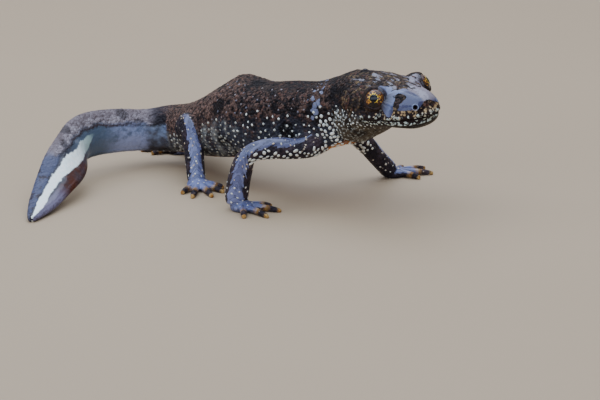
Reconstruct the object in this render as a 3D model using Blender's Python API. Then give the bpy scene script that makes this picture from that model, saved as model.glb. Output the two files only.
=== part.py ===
"""Great crested newt, a walking male in its land dress: a still, life-size model.

The body is a loft along a curved spine, from the snout to the tip of the tail, parted by
thin cuts into head, jaw, neck, two lengths of trunk and four of tail. Each leg is a bent
tube with its own foot, and each eye is a ball in its socket. Lengths are in millimetres
until a mesh is made. Forward is towards the snout, and the feet stand on Z = 0.
"""

import math
from collections import namedtuple

import bmesh
import bpy
from mathutils import Matrix, Vector

MM = 0.001
GAP = 0.3  # left between two pieces that touch in life
BODY_SIDES = 20
LEG_SIDES = 12
TOE_SIDES = 8
BODY_STEPS = 3  # rings between one section and the next
LEG_STEPS = 3
TOE_STEPS = 2
UP = Vector((0, 0, 1))

# Head: its own axis, level, through the middle between the eyes.
EYE_MIDDLE = Vector((13.0, -6.9, 19.7))
HEAD_HEADING = math.radians(-54)
HEAD_ROLL = math.radians(6)  # its right side is the lower
HEAD_TURN = Matrix.Rotation(HEAD_HEADING, 4, "Z") @ Matrix.Rotation(HEAD_ROLL, 4, "X")
HEAD_FORWARD = HEAD_TURN @ Vector((1, 0, 0))
HEAD_LEFT = HEAD_TURN @ Vector((0, 1, 0))
EYE_RADIUS = 1.75
EYE_OUT = 4.4
EYE_BACK = 0.3  # how far the eyeballs sit behind that middle
LID_RADIUS = 2.2
LID_LONG = 2.75
LID_SUNK = 0.35
JAW_BACK = -3.6
MOUTH_HEIGHT = 16.05
MOUTH_SLOPE = math.radians(4)

# A section of the body. The top and the bottom are heights over the floor where the body is
# upright, and distances from the centre line where it rolls; square is 2 on an ellipse.
Section = namedtuple("Section", "centre rise drop half_width roll square")


def head_section(ahead, half_width, top, bottom, square=2.3):
    """A section of the head, so far ahead of the middle between the eyes."""
    place = EYE_MIDDLE + HEAD_FORWARD * ahead
    middle = (top * 0.45) + (bottom * 0.55)
    centre = Vector((place.x, place.y, middle))
    return Section(centre, top - middle, middle - bottom, half_width, HEAD_ROLL, square)


def trunk_section(x, y, top, bottom, half_width, square=2.2):
    """A section of the neck or trunk, upright, between two heights."""
    middle = (top + bottom) / 2
    return Section(Vector((x, y, middle)), top - middle, middle - bottom, half_width, 0, square)


def tail_section(x, y, z, half_height, half_width, roll):
    """A section of the tail, rolled about its length so that its right side turns up."""
    return Section(Vector((x, y, z)), half_height, half_height, half_width, -math.radians(roll), 1.85)


HEAD = (
    head_section(7.4, 1.3, 18.7, 16.8, 2.0),
    head_section(6.9, 2.4, 19.7, 15.9, 2.3),
    head_section(5.7, 3.5, 20.3, 15.2, 2.5),
    head_section(3.6, 4.5, 20.8, 15.0, 2.6),
    head_section(0.4, 5.4, 21.3, 14.7, 2.5),
    head_section(-3.2, 6.0, 21.8, 13.6, 2.3),
    head_section(-6.4, 5.8, 22.0, 11.5, 2.2),
)
NECK = (
    trunk_section(6.5, 1.1, 21.6, 10.0, 5.0),
    trunk_section(3.8, 2.9, 20.3, 8.9, 4.8),
)
TRUNK = (
    trunk_section(0.6, 5.0, 19.1, 7.8, 5.2),
    trunk_section(-3.3, 7.6, 18.7, 6.7, 5.6),
    trunk_section(-7.6, 10.9, 18.0, 5.6, 6.1),
    trunk_section(-11.5, 14.6, 18.5, 4.6, 6.1, 1.75),
    trunk_section(-15.4, 18.9, 15.6, 3.6, 5.6, 1.9),
    trunk_section(-18.4, 23.2, 12.9, 2.9, 4.8),
    trunk_section(-21.2, 26.9, 11.0, 2.6, 4.1),
)
TAIL = (
    tail_section(-24.9, 29.5, 6.1, 4.0, 3.3, 0),
    tail_section(-29.6, 29.4, 6.0, 3.55, 2.6, 0),
    tail_section(-34.2, 26.6, 6.7, 3.75, 2.1, 0),
    tail_section(-38.2, 23.8, 6.9, 3.85, 1.8, 4),
    tail_section(-40.2, 20.5, 6.6, 3.8, 1.6, 15),
    tail_section(-40.8, 15.2, 5.9, 3.75, 1.4, 38),
    tail_section(-41.8, 10.0, 4.7, 3.7, 1.25, 57),
    tail_section(-43.3, 5.0, 2.85, 3.05, 1.1, 70),
    tail_section(-44.6, 0.4, 1.35, 2.3, 0.95, 78),
    tail_section(-45.5, -3.4, 0.68, 1.3, 0.75, 84),
    tail_section(-45.9, -5.4, 0.5, 0.6, 0.55, 86),
)
SPINE = HEAD + NECK + TRUNK + TAIL

# The body's pieces, by the sections where one ends and the next begins.
CUTS = (
    ("head", 0, 6.3),
    ("neck", 6.3, 8.5),
    ("trunk_front", 8.5, 12),
    ("trunk_rear", 12, 15.4),
    ("tail_root", 15.4, 17.5),
    ("tail_base", 17.5, 19.6),
    ("tail_middle", 19.6, 22),
    ("tail_end", 22, len(SPINE) - 1),
)

# Each leg: the middle line from inside the body to the wrist or ankle, with radii, then the
# foot's heading in degrees and how long each toe is, from its inner to its outer side.
Leg = namedtuple("Leg", "line radii heading fan toes palm side")
LEGS = {
    "front_right": Leg(
        ((1.6, 3.2, 11.0), (-1.8, 0.2, 9.6), (-6.8, -2.0, 10.1), (-11.0, -2.9, 9.7),
         (-12.3, -2.3, 6.4), (-13.1, -1.6, 2.7), (-13.1, -1.5, 1.2)),
        (2.4, 2.2, 1.75, 1.7, 1.8, 1.9, 1.7), -35, 104, (3.4, 5.0, 5.2, 3.6), 1.9, -1),
    "front_left": Leg(
        ((0.6, 3.6, 11.0), (3.8, 7.4, 9.8), (5.4, 11.0, 9.4), (7.9, 12.3, 7.0),
         (9.8, 13.8, 4.3), (11.5, 15.2, 2.0), (12.1, 15.7, 1.2)),
        (2.4, 2.2, 1.75, 1.6, 1.5, 1.5, 1.45), 20, 104, (3.4, 5.0, 5.2, 3.6), 1.8, 1),
    "hind_right": Leg(
        ((-19.2, 25.4, 7.0), (-21.3, 22.6, 7.6), (-21.2, 19.2, 9.3), (-20.7, 16.9, 9.0),
         (-20.4, 15.2, 5.4), (-20.2, 14.0, 2.4), (-20.1, 13.5, 1.2)),
        (2.6, 2.4, 2.0, 1.85, 1.65, 1.55, 1.5), -70, 110, (2.8, 4.2, 5.4, 5.2, 3.2), 2.0, -1),
    "hind_left": Leg(
        ((-19.6, 25.4, 7.0), (-17.0, 28.8, 7.6), (-16.4, 32.0, 8.0), (-17.8, 33.8, 6.6),
         (-20.4, 35.0, 4.0), (-22.6, 35.8, 1.9), (-23.3, 36.0, 1.2)),
        (2.6, 2.4, 2.0, 1.85, 1.65, 1.55, 1.5), 140, 110, (2.8, 4.2, 5.4, 5.2, 3.2), 2.0, 1),
}
TOE_ROOT, TOE_TIP = 0.62, 0.42  # radii
FLOOR_LOW, FLOOR_HIGH = (-70, -40, -10), (40, 60, 0)
PALM_HEIGHT = 1.0
WRIST_CUT = 5.35  # along a leg's line, in its own steps

COLOURS = {
    "skin_back": (0.028, 0.018, 0.013),
    "skin_throat": (0.06, 0.055, 0.045),
    "skin_tail": (0.05, 0.04, 0.045),
    "skin_leg": (0.035, 0.03, 0.032),
    "eye": (0.35, 0.19, 0.03),
}
ROUGHNESS = {"skin_back": 0.35, "skin_throat": 0.4, "skin_tail": 0.3, "skin_leg": 0.35, "eye": 0.08}


def smooth_between(before, start, end, after, t):
    """Catmull-Rom: the value at t between start and end."""
    return 0.5 * (
        start * 2
        + (end - before) * t
        + (before * 2 - start * 5 + end * 4 - after) * t**2
        + (start * 3 - before - end * 3 + after) * t**3
    )


def along(values, t):
    """The value at t steps along a smooth curve through the values."""
    last = len(values) - 1
    step = min(int(t), last - 1)
    picked = [values[min(max(step + k, 0), last)] for k in (-1, 0, 1, 2)]
    return smooth_between(*picked, t - step)


def spine_at(t):
    """The body's section at t steps along the spine."""
    return Section(*(along([section[k] for section in SPINE], t) for k in range(len(Section._fields))))


def spine_frame(t):
    """Where the section at t lies: its matrix has X to the left, Y up and Z backwards."""
    here = spine_at(t)
    nudge = 0.02
    ahead = spine_at(max(t - nudge, 0)).centre
    behind = spine_at(min(t + nudge, len(SPINE) - 1)).centre
    backward = behind - ahead
    slope = min(max(t - len(HEAD + NECK + TRUNK), 0), 1)
    backward.z *= slope  # sections ahead of the tail stand upright
    backward.normalize()
    left = backward.cross(UP).normalized()
    up = left.cross(backward)
    frame = Matrix((left, up, backward)).transposed().to_4x4()
    return Matrix.Translation(here.centre) @ frame @ Matrix.Rotation(here.roll, 4, "Z")


def ring_points(section, sides, grow):
    """The points of one section, in its own plane."""
    for k in range(sides):
        angle = 2 * math.pi * (k + 0.5) / sides
        across, height = math.cos(angle), math.sin(angle)
        power = 2 / section.square
        x = math.copysign(abs(across) ** power, across) * (section.half_width + grow)
        reach = (section.rise if height > 0 else section.drop) + grow
        yield Vector((x, math.copysign(abs(height) ** power, height) * reach, 0))


def add_ring(mesh, frame, points):
    """A closed loop of edges through the points, placed by the frame."""
    verts = [mesh.verts.new(frame @ point) for point in points]
    edges = [mesh.edges.new((a, b)) for a, b in zip(verts, verts[1:] + verts[:1])]
    return verts, edges


def loft(rings):
    """A closed mesh through (frame, points) rings, with a flat cap at both ends."""
    mesh = bmesh.new()
    loops = [add_ring(mesh, frame, points) for frame, points in rings]
    for (_, first), (_, second) in zip(loops, loops[1:]):
        bmesh.ops.bridge_loops(mesh, edges=first + second)
    mesh.faces.new(loops[0][0])
    mesh.faces.new(loops[-1][0])
    bmesh.ops.recalc_face_normals(mesh, faces=mesh.faces)
    return mesh


def steps_between(start, end, per_step):
    """Places from start to end: both ends, and the even fractions of a step between them."""
    inner = [k / per_step for k in range(math.ceil(start * per_step), math.floor(end * per_step) + 1)]
    margin = 0.3 / per_step
    return [start] + [t for t in inner if start + margin < t < end - margin] + [end]


def body_loft(start, end, grow=0.0):
    """The body between two places along the spine."""
    places = steps_between(start, end, BODY_STEPS)
    return loft([(spine_frame(t), list(ring_points(spine_at(t), BODY_SIDES, grow))) for t in places])


def tube(line, radii, sides, steps, start=0.0, end=None):
    """A tube of changing radius along a smooth line."""
    points = [Vector(point) for point in line]
    end = len(points) - 1 if end is None else end
    rings = []
    side = None
    for t in steps_between(start, end, steps):
        ahead = along(points, min(t + 0.02, len(points) - 1)) - along(points, max(t - 0.02, 0))
        ahead.normalize()
        side = ahead.cross(UP) if side is None else side - ahead * side.dot(ahead)
        side.normalize()
        up = side.cross(ahead)
        frame = Matrix.Translation(along(points, t)) @ Matrix((side, up, ahead)).transposed().to_4x4()
        radius = along(list(radii), t)
        turns = [2 * math.pi * (k + 0.5) / sides for k in range(sides)]
        circle = [Vector((math.cos(a) * radius, math.sin(a) * radius, 0)) for a in turns]
        rings.append((frame, circle))
    return loft(rings)


def material(name):
    """The finish of one kind of surface."""
    found = bpy.data.materials.get(name)
    if found:
        return found
    made = bpy.data.materials.new(name)
    made.use_nodes = True
    shader = made.node_tree.nodes["Principled BSDF"]
    shader.inputs["Base Color"].default_value = (*COLOURS[name], 1)
    shader.inputs["Roughness"].default_value = ROUGHNESS[name]
    shader.inputs["Metallic"].default_value = 0
    return made


def add_object(name, mesh, collection, root, finish=None):
    """An object of this mesh, in metres, under the root. The bmesh is used up."""
    mesh.transform(Matrix.Scale(MM, 4))
    data = bpy.data.meshes.new(name)
    mesh.to_mesh(data)
    mesh.free()
    made = bpy.data.objects.new(name, data)
    collection.objects.link(made)
    made.parent = root
    if finish:
        data.materials.append(material(finish))
        data.shade_smooth()
    else:
        made.hide_render = True
        made.display_type = "WIRE"
    return made


def boolean(target, other, operation):
    """Joins, cuts or crosses the target with the other object."""
    modifier = target.modifiers.new(other.name, "BOOLEAN")
    modifier.operation = operation
    modifier.solver = "EXACT"
    modifier.object = other


def ball(radius, centre, stretch=(1, 1, 1), turn=0.0, segments=16):
    """A ball, drawn out along its own axes and turned about the vertical."""
    mesh = bmesh.new()
    bmesh.ops.create_uvsphere(mesh, u_segments=segments, v_segments=segments // 2, radius=radius)
    place = Matrix.Translation(centre) @ Matrix.Rotation(turn, 4, "Z") @ Matrix.Diagonal((*stretch, 1))
    mesh.transform(place)
    return mesh


def block(low, high, place):
    """A box between two corners, then placed."""
    mesh = bmesh.new()
    bmesh.ops.create_cube(mesh, size=1)
    low, high = Vector(low), Vector(high)
    mesh.transform(place @ Matrix.Translation((low + high) / 2) @ Matrix.Diagonal((*(high - low), 1)))
    return mesh


def head_matrix(height):
    """The head's own axes at a height: X forward, Y left, Z up."""
    return Matrix.Translation((EYE_MIDDLE.x, EYE_MIDDLE.y, height)) @ HEAD_TURN


def step_length(t):
    """How long one step along the spine is at t."""
    nudge = 0.05
    return (spine_at(t + nudge).centre - spine_at(t - nudge).centre).length / (2 * nudge)


def piece_span(start, end):
    """Where a piece's own loft begins and ends, with half a gap at each cut."""
    front = start + GAP / 2 / step_length(start) if start > 0 else start
    back = end - GAP / 2 / step_length(end) if end < len(SPINE) - 1 else end
    return front, back


def make_body(parts, root):
    """The lengths of the body, from the head to the end of the tail."""
    made = {}
    for name, start, end in CUTS:
        finish = "skin_tail" if name.startswith("tail") else "skin_back"
        made[name] = add_object(name, body_loft(*piece_span(start, end)), parts, root, finish)
    return made


def make_face(head, parts, cutters, root):
    """Swellings round the eyes, the eyes in their sockets, and the lower jaw."""
    _, start, end = CUTS[0]
    jaw = add_object("lower_jaw", body_loft(*piece_span(start, end)), parts, root, "skin_throat")
    for name, side in (("left", 1), ("right", -1)):
        centre = EYE_MIDDLE - HEAD_FORWARD * EYE_BACK + HEAD_LEFT * side * EYE_OUT
        swelling = ball(
            LID_RADIUS, centre - HEAD_LEFT * side * LID_SUNK, (LID_LONG / LID_RADIUS, 1, 1), HEAD_HEADING
        )
        lid = add_object(f"lid_{name}", swelling, cutters, root)
        socket = add_object(f"socket_{name}", ball(EYE_RADIUS + GAP, centre), cutters, root)
        boolean(head, lid, "UNION")
        boolean(head, socket, "DIFFERENCE")
        add_object(f"eye_{name}", ball(EYE_RADIUS, centre, turn=HEAD_HEADING), parts, root, "eye")
    place = head_matrix(MOUTH_HEIGHT) @ Matrix.Rotation(-MOUTH_SLOPE, 4, "Y")
    room = block((JAW_BACK - GAP, -12, -12), (14, 12, GAP / 2), place)
    boolean(head, add_object("jaw_room", room, cutters, root), "DIFFERENCE")
    keep = block((JAW_BACK, -12, -12), (14, 12, -GAP / 2), place)
    boolean(jaw, add_object("jaw_keep", keep, cutters, root), "INTERSECT")


def make_palm(leg):
    """The palm or sole: a low ball ahead of the wrist or ankle."""
    return ball(leg.palm, palm_centre(leg) + UP * PALM_HEIGHT * 0.62,
                (1.15, 1, PALM_HEIGHT / leg.palm), math.radians(leg.heading), 12)


def palm_centre(leg):
    """The middle of the palm or sole, on the floor."""
    x, y, _ = leg.line[-1]
    heading = math.radians(leg.heading)
    return Vector((x, y, 0)) + Vector((math.cos(heading), math.sin(heading), 0)) * leg.palm * 0.55


def make_toe(leg, number):
    """One toe, a tapered tube that droops to the floor at its tip."""
    spread = leg.side * math.radians(leg.fan) * (number / (len(leg.toes) - 1) - 0.5)
    heading = math.radians(leg.heading) + spread
    out = Vector((math.cos(heading), math.sin(heading), 0))
    knuckle = leg.palm * 0.8
    length = leg.toes[number]
    line = [
        palm_centre(leg) + out * reach + UP * height
        for reach, height in (
            (leg.palm * 0.2, TOE_ROOT * 1.25),
            (knuckle, TOE_ROOT * 1.15),
            (knuckle + length * 0.55, TOE_ROOT * 0.95),
            (knuckle + length * 0.9, TOE_TIP * 0.7),
            (knuckle + length, TOE_TIP * 0.55),
        )
    ]
    radii = (TOE_ROOT, TOE_ROOT, (TOE_ROOT + TOE_TIP) / 2, TOE_TIP, TOE_TIP * 0.55)
    return tube(line, radii, TOE_SIDES, TOE_STEPS)


def make_leg(name, leg, clearance, floor, parts, cutters, root):
    """One leg, cut clear of the body, and its foot, cut level with the floor."""
    step = (Vector(leg.line[-1]) - Vector(leg.line[-2])).length
    above = tube(leg.line, leg.radii, LEG_SIDES, LEG_STEPS, end=WRIST_CUT - GAP / 2 / step)
    limb = add_object(f"{name}_leg", above, parts, root, "skin_leg")
    boolean(limb, clearance, "DIFFERENCE")
    below = tube(leg.line, leg.radii, LEG_SIDES, LEG_STEPS, start=WRIST_CUT + GAP / 2 / step)
    foot = add_object(f"{name}_foot", below, parts, root, "skin_leg")
    boolean(foot, add_object(f"{name}_palm", make_palm(leg), cutters, root), "UNION")
    for number in range(len(leg.toes)):
        toe = add_object(f"{name}_toe_{number + 1}", make_toe(leg, number), cutters, root)
        boolean(foot, toe, "UNION")
    boolean(foot, floor, "DIFFERENCE")


def centre_over_origin(parts, root):
    """Moves the model along the floor so that the middle of its outer box is over the origin."""
    graph = bpy.context.evaluated_depsgraph_get()
    corners = []
    for part in parts.objects:
        solid = part.evaluated_get(graph)
        corners += [solid.matrix_world @ Vector(corner) for corner in solid.bound_box]
    for k in (0, 1):
        places = [corner[k] for corner in corners]
        root.location[k] = -(min(places) + max(places)) / 2


def main():
    for old in list(bpy.data.objects):
        bpy.data.objects.remove(old)
    parts = bpy.data.collections.new("great_crested_newt")
    cutters = bpy.data.collections.new("cutters")
    for collection in (parts, cutters):
        bpy.context.scene.collection.children.link(collection)
    root = bpy.data.objects.new("newt", None)
    parts.objects.link(root)
    floor = add_object("floor", block(FLOOR_LOW, FLOOR_HIGH, Matrix()), cutters, root)
    body = make_body(parts, root)
    boolean(body["tail_end"], floor, "DIFFERENCE")
    make_face(body["head"], parts, cutters, root)
    clearance = add_object("body_clearance", body_loft(0, len(SPINE) - 1, GAP), cutters, root)
    for name, leg in LEGS.items():
        make_leg(name, leg, clearance, floor, parts, cutters, root)
    bpy.context.view_layer.update()
    centre_over_origin(parts, root)


main()
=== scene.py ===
"""Great crested newt: the looks of a still, life-size model.

One skin covers the parted solids. It is lofted from the same sections as they are, joined by a
voxel remesh, and sculpted: lids, mouth, nostrils, throat fold, rib grooves and warts. White
granules are small domes on the skin, and each eye is a ball with an iris under a wet coat.
Lengths are millimetres, in the newt's own frame, until a mesh is finished.
"""

import math
import random
from collections import namedtuple
from itertools import product

import bmesh
import bpy
import numpy as np
from mathutils import Matrix, Vector, noise
from mathutils.kdtree import KDTree


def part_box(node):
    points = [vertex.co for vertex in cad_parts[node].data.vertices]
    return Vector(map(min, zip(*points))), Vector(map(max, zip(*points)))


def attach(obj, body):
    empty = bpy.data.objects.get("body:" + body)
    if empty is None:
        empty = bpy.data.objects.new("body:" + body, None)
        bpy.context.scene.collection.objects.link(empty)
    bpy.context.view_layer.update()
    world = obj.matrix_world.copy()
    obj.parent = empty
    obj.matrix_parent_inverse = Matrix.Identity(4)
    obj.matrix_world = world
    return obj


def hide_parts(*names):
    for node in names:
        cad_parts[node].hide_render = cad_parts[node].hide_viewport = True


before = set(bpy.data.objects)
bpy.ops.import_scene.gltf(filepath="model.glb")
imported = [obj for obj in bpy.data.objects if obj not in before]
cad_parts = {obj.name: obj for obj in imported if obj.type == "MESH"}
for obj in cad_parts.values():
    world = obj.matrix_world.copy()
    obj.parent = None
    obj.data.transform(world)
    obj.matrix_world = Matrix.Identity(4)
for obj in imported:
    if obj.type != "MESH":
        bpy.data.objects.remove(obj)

bl_info = {
    "name": "Great crested newt",
    "version": (1, 0, 0),
    "blender": (4, 5, 0),
    "location": "View3D > Sidebar > Newt",
    "description": "Skin, granules, eyes and stage of a life-size newt",
    "category": "Object",
}

MM = 0.001
UP = Vector((0, 0, 1))

# The head's own axes: X forward, Y left, Z up, from the middle between the eyes.
EYE_MIDDLE = Vector((13.0, -6.9, 19.7))
HEAD_HEADING = math.radians(-54)
HEAD_ROLL = math.radians(6)
HEAD_TURN = Matrix.Rotation(HEAD_HEADING, 4, "Z") @ Matrix.Rotation(HEAD_ROLL, 4, "X")
HEAD_PLACE = Matrix.Translation(EYE_MIDDLE) @ HEAD_TURN
HEAD_LEFT = HEAD_TURN @ Vector((0, 1, 0))
EYE_RADIUS = 1.75
EYE_OUT = 4.4
EYE_BACK = 0.3  # how far the eyeballs sit behind that middle
EYE_FORWARD = math.radians(42)  # how far the eyes look ahead of straight sideways
EYE_UPWARD = math.radians(28)
LID_RADIUS = 2.2
LID_LONG = 2.75
LID_SUNK = 0.35
LID_RIM, LID_INSIDE, LID_REACH = 1.90, 1.30, 3.6  # from the eye's middle: rim, under the ball, skin
LID_OPENINGS = {1: 47, -1: 57}  # degrees from each eye's axis to its lids, the left ones drawn in
MOUTH_DROP = -3.1  # from the eyes down to the lips, under the middle between them
MOUTH_SLOPE = 0.09
JAW_CORNER = -3.4
NOSTRIL = (6.94, 2.36, -0.53)  # in the head's own axes, on either side
BAND_STEPS = (0, 1.0, 1.35, 1.6, 2.5, 3.6, 5.0, 6.0)  # down a leg
BAND_HALVES = (2, 4, 22, 38, 44, 34, 40, 62)  # degrees from its wet band's middle to its edge there
RIB_SPACING = 2.5
RIB_BEAT = 2 * math.pi / RIB_SPACING
RIB_SLANT = 1.3  # how far a rib groove runs back between mid-height and the back
LORE_WET = ((0.3, 2.9, 1.8), (0.9, 2.5, 1.5), (2.0, 2.7, 1.2), (2.9, 3.4, 0.7), (3.3, 4.1, 0.1),
            (3.2, 4.7, -0.8), (3.2, 4.85, -1.35))  # from over the eye down before it
LORE_DARK = ((4.4, 2.6, 0.7), (3.4, 2.7, 0.9), (3.8, 3.3, 0.5), (4.3, 3.2, 0.4), (3.9, 3.6, 0.25),
             (4.1, 3.9, -0.1), (4.2, 4.1, -0.5))  # the dry wedge ahead of it
SHOULDER_FILM, NAPE_FILM, RUMP_FILM = 23.4, 25.4, 61.8  # wet patches, so far from the snout
THROAT_FOLD = -10.1
NAPE_WART = (-7.9, -0.2, 2.3)
BACK_PEAK = (-10.5, 13.7)  # where the arched back stands highest
TAIL_SQUARE = 1.85  # how square the tail's sections are: 2 is an ellipse

Section = namedtuple("Section", "centre rise drop half_width roll square")
Leg = namedtuple("Leg", "line radii heading fan toes palm side band")
Granule = namedtuple("Granule", "spacing radius pale tint longer")


def head_section(ahead, half_width, top, bottom, square):
    """A section of the head, so far ahead of the middle between the eyes."""
    place = EYE_MIDDLE + (HEAD_TURN @ Vector((1, 0, 0))) * ahead
    middle = top * 0.45 + bottom * 0.55
    centre = Vector((place.x, place.y, middle))
    return Section(centre, top - middle, middle - bottom, half_width, HEAD_ROLL, square)


def trunk_section(x, y, top, bottom, half_width, square=2.2):
    """A section of the neck or trunk, upright, between two heights."""
    middle = (top + bottom) / 2
    return Section(Vector((x, y, middle)), top - middle, middle - bottom, half_width, 0, square)


def tail_section(x, y, z, half_height, half_width, roll):
    """A section of the tail, rolled about its length so that its right side turns up."""
    turn = -math.radians(roll)
    return Section(Vector((x, y, z)), half_height, half_height, half_width, turn, TAIL_SQUARE)


HEAD = tuple(head_section(*row) for row in (
    (7.4, 1.3, 18.7, 16.8, 2.0),
    (6.9, 2.4, 19.7, 15.9, 2.3),
    (5.7, 3.5, 20.3, 15.2, 2.5),
    (3.6, 4.5, 20.8, 15.0, 2.6),
    (0.4, 5.4, 21.3, 14.7, 2.5),
    (-3.2, 6.0, 21.8, 13.6, 2.3),
    (-6.4, 5.8, 22.0, 11.5, 2.2),
))
TRUNK = tuple(trunk_section(*row) for row in (
    (6.5, 1.1, 21.6, 10.0, 5.0),
    (3.8, 2.9, 20.3, 8.9, 4.8),
    (0.6, 5.0, 19.1, 7.8, 5.2),
    (-3.3, 7.6, 18.7, 6.7, 5.6),
    (-7.6, 10.9, 18.0, 5.6, 6.1),
    (-11.5, 14.6, 18.5, 4.6, 6.1, 1.75),
    (-15.4, 18.9, 15.6, 3.6, 5.6, 1.9),
    (-18.4, 23.2, 12.9, 2.9, 4.8),
    (-21.2, 26.9, 11.0, 2.6, 4.1),
))
TAIL = tuple(tail_section(*row) for row in (
    (-24.9, 29.5, 6.1, 4.0, 3.3, 0),
    (-29.6, 29.4, 6.0, 3.55, 2.6, 0),
    (-34.2, 26.6, 6.7, 3.75, 2.1, 0),
    (-38.2, 23.8, 6.9, 3.85, 1.8, 4),
    (-40.2, 20.5, 6.6, 3.8, 1.6, 15),
    (-40.8, 15.2, 5.9, 3.75, 1.4, 38),
    (-41.8, 10.0, 4.7, 3.7, 1.25, 57),
    (-43.3, 5.0, 2.85, 3.05, 1.1, 70),
    (-44.6, 0.4, 1.35, 2.3, 0.95, 78),
    (-45.5, -3.4, 0.68, 1.3, 0.75, 84),
    (-45.9, -5.4, 0.5, 0.6, 0.55, 86),
))
SPINE = HEAD + TRUNK + TAIL
# Heading, fan and band are angles in degrees, the first and last from X; side is 1 on the left.
FRONT_TOES = (3.4, 5.0, 5.2, 3.6)
HIND_TOES = (2.8, 4.2, 5.4, 5.2, 3.2)
HIND_RADII = (2.6, 2.4, 2.0, 1.85, 1.65, 1.55, 1.5)
LEGS = {
    "front_right": Leg(
        ((1.6, 3.2, 11.0), (-1.8, 0.2, 9.6), (-6.8, -2.0, 10.1), (-11.0, -2.9, 9.7),
         (-12.3, -2.3, 6.4), (-13.1, -1.6, 2.7), (-13.1, -1.5, 1.2)),
        (2.4, 2.2, 1.75, 1.7, 1.8, 1.9, 1.7),
        heading=-35, fan=104, toes=FRONT_TOES, palm=1.9, side=-1, band=-98),
    "front_left": Leg(
        ((0.6, 3.6, 11.0), (3.8, 7.4, 9.8), (5.4, 11.0, 9.4), (7.9, 12.3, 7.0),
         (9.8, 13.8, 4.3), (11.5, 15.2, 2.0), (12.1, 15.7, 1.2)),
        (2.4, 2.2, 1.75, 1.6, 1.5, 1.5, 1.45),
        heading=20, fan=104, toes=FRONT_TOES, palm=1.8, side=1, band=30),
    "hind_right": Leg(
        ((-19.2, 25.4, 7.0), (-21.3, 22.6, 7.6), (-21.2, 19.2, 9.3), (-20.7, 16.9, 9.0),
         (-20.4, 15.2, 5.4), (-20.2, 14.0, 2.4), (-20.1, 13.5, 1.2)),
        HIND_RADII, heading=-70, fan=110, toes=HIND_TOES, palm=2.0, side=-1, band=-80),
    "hind_left": Leg(
        ((-19.6, 25.4, 7.0), (-17.0, 28.8, 7.6), (-16.4, 32.0, 8.0), (-17.8, 33.8, 6.6),
         (-20.4, 35.0, 4.0), (-22.6, 35.8, 1.9), (-23.3, 36.0, 1.2)),
        HIND_RADII, heading=140, fan=110, toes=HIND_TOES, palm=2.0, side=1, band=-26),
}
TOE_ROOT, TOE_TIP = 0.62, 0.42  # a toe's radii
PALM_HEIGHT = 1.0
NUDGE = 0.02  # a small step along a curve, to see which way it runs
NOSE_CAP = ((0.86, 0.22), (0.6, 0.42), (0.28, 0.53))  # each ring's share of the first, and reach


def middle_of(node):
    """The middle of a CAD node's box, in millimetres."""
    low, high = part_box(node)
    return (Vector(low) + Vector(high)) / 2 / MM


def eye_centre(side):
    """An eye's middle: side is 1 on the left and -1 on the right."""
    return EYE_MIDDLE + HEAD_TURN @ Vector((-EYE_BACK, side * EYE_OUT, 0))


# From the newt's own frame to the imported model's, which has its origin under the box's middle.
SHIFT = middle_of("eye_left") - eye_centre(1)


# ---------------------------------------------------------------- shape

def smooth_between(before, start, end, after, t):
    """Catmull-Rom: the value at t between start and end."""
    return 0.5 * (
        start * 2
        + (end - before) * t
        + (before * 2 - start * 5 + end * 4 - after) * t**2
        + (start * 3 - before - end * 3 + after) * t**3
    )


def along(values, t):
    """The value at t steps along a smooth curve through the values."""
    last = len(values) - 1
    step = min(int(t), last - 1)
    picked = [values[min(max(step + k, 0), last)] for k in (-1, 0, 1, 2)]
    return smooth_between(*picked, t - step)


def spine_at(t):
    """The body's section at t steps along the spine."""
    return Section(*(along(values, t) for values in zip(*SPINE)))


def spine_frame(t):
    """Where the section at t lies: its matrix has X to the left, Y up and Z backwards."""
    here = spine_at(t)
    ahead = spine_at(max(t - NUDGE, 0)).centre
    behind = spine_at(min(t + NUDGE, len(SPINE) - 1)).centre
    backward = behind - ahead
    backward.z *= min(max(t - len(HEAD + TRUNK), 0), 1)
    backward.normalize()
    left = backward.cross(UP).normalized()
    up = left.cross(backward)
    turned = Matrix((left, up, backward)).transposed().to_4x4()
    return Matrix.Translation(here.centre) @ turned @ Matrix.Rotation(here.roll, 4, "Z")


def oval_point(section, angle):
    """The point of a section at an angle from its left side, in its own plane."""
    across, height = math.cos(angle), math.sin(angle)
    power = 2 / section.square
    reach = section.rise if height > 0 else section.drop
    x = math.copysign(abs(across) ** power, across) * section.half_width
    return Vector((x, math.copysign(abs(height) ** power, height) * reach, 0))


def add_ring(mesh, sides, place, shape):
    """A closed loop of edges through shape(angle), placed by a matrix."""
    verts = bmesh.ops.create_circle(mesh, segments=sides, radius=1)["verts"]
    for k, vert in enumerate(verts):
        vert.co = place @ shape(2 * math.pi * (k + 0.5) / sides)
    return list({edge for vert in verts for edge in vert.link_edges})


def bridge_all(mesh, rings):
    """Joins each ring to the next and caps both ends."""
    for first, second in zip(rings, rings[1:]):
        bmesh.ops.bridge_loops(mesh, edges=first + second)
    for end in (rings[0], rings[-1]):
        bmesh.ops.contextual_create(mesh, geom=end)


def add_object(name, mesh):
    """A new object of the scene from a bmesh, which is freed."""
    data = bpy.data.meshes.new(name)
    mesh.to_mesh(data)
    mesh.free()
    made = bpy.data.objects.new(name, data)
    bpy.context.scene.collection.objects.link(made)
    return made


def join(whole, part):
    """Adds one bmesh to another, and frees it."""
    data = bpy.data.meshes.new("part")
    part.to_mesh(data)
    part.free()
    whole.from_mesh(data)
    bpy.data.meshes.remove(data)


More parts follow.
